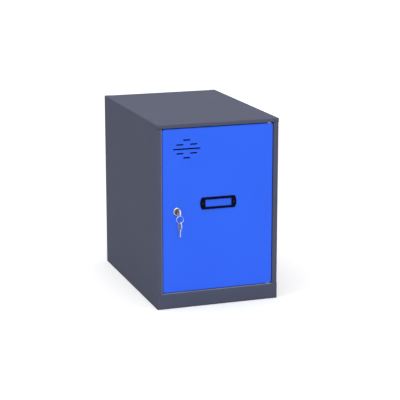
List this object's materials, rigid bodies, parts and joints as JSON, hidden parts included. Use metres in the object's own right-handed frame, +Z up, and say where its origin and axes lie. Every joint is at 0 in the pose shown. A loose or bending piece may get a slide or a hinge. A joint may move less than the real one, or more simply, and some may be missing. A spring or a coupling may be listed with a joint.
{
  "type": "school locker",
  "caption": "Low sheet-steel locker with a narrow frame, a plinth and a pivoted pan door with vent slots, a card holder and a keyed cam lock.",
  "frame": {"origin": "on the floor, at the centre of the carcass's footprint", "axes": "+Z up, -Y out of the front, +X to the hinge side on the right when facing the door"},
  "size_m": [0.3, 0.4786, 0.44],
  "materials": {
    "carcass_paint": "fine powder coat, satin",
    "door_paint": "fine powder coat, satin",
    "zinc_steel": "bright zinc plate",
    "lock_chrome": "polished chrome plate",
    "plug_metal": "satin nickel plate",
    "wafer_brass": "plain",
    "key_nickel": "nickel plate, lightly worn",
    "ring_steel": "bright nickel plate",
    "nylon": "natural nylon",
    "buffer_rubber": "matt",
    "holder_plastic": "fine grained black moulding"
  },
  "bodies": {
    "carcass": {"left_side_panel": "carcass_paint", "right_side_panel": "carcass_paint", "top_panel": "carcass_paint", "base_tray": "carcass_paint", "back_panel": "carcass_paint", "hinge_plates": "carcass_paint", "upper_hinge_pin": "zinc_steel", "lower_hinge_pin": "zinc_steel", "door_buffers": "buffer_rubber"},
    "door": {"door_panel": "door_paint", "door_stiffener": "door_paint", "upper_hinge_bush": "nylon", "lower_hinge_bush": "nylon", "card_holder": "holder_plastic", "card_holder_rivets": "holder_plastic", "lock_body": "lock_chrome", "lock_washer": "zinc_steel", "lock_nut": "zinc_steel"},
    "lock_plug": {"lock_plug": "plug_metal", "wafer_tumblers": "wafer_brass", "stop_washer": "zinc_steel", "cam": "zinc_steel", "cam_screw": "zinc_steel"},
    "key": {"key": "key_nickel"},
    "key_ring": {"key_ring": "ring_steel"},
    "spare_key": {"spare_key": "key_nickel"}
  },
  "joints": [
    {"name": "door_hinge", "type": "hinge", "parent": "carcass", "child": "door", "pos_m": [0.1278, -0.2179, 0.2342], "axis": [0, 0, 1], "range_deg": [0, 110]},
    {"name": "lock_turn", "type": "hinge", "parent": "door", "child": "lock_plug", "pos_m": [-0.1013, -0.2235, 0.2342], "axis": [0, 1, 0], "range_deg": [0, 90]},
    {"name": "key_slide", "type": "slide", "parent": "lock_plug", "child": "key", "axis": [0, -1, 0], "range_m": [0, 0.022]},
    {"name": "ring_swing", "type": "hinge", "parent": "key", "child": "key_ring", "pos_m": [-0.1013, -0.2436, 0.22835], "axis": [-1, 0, 0], "range_deg": [-10, 30]},
    {"name": "spare_key_swing", "type": "hinge", "parent": "key_ring", "child": "spare_key", "pos_m": [-0.1013, -0.2436, 0.21135], "axis": [-1, 0, 0], "range_deg": [-10, 30]}
  ]
}
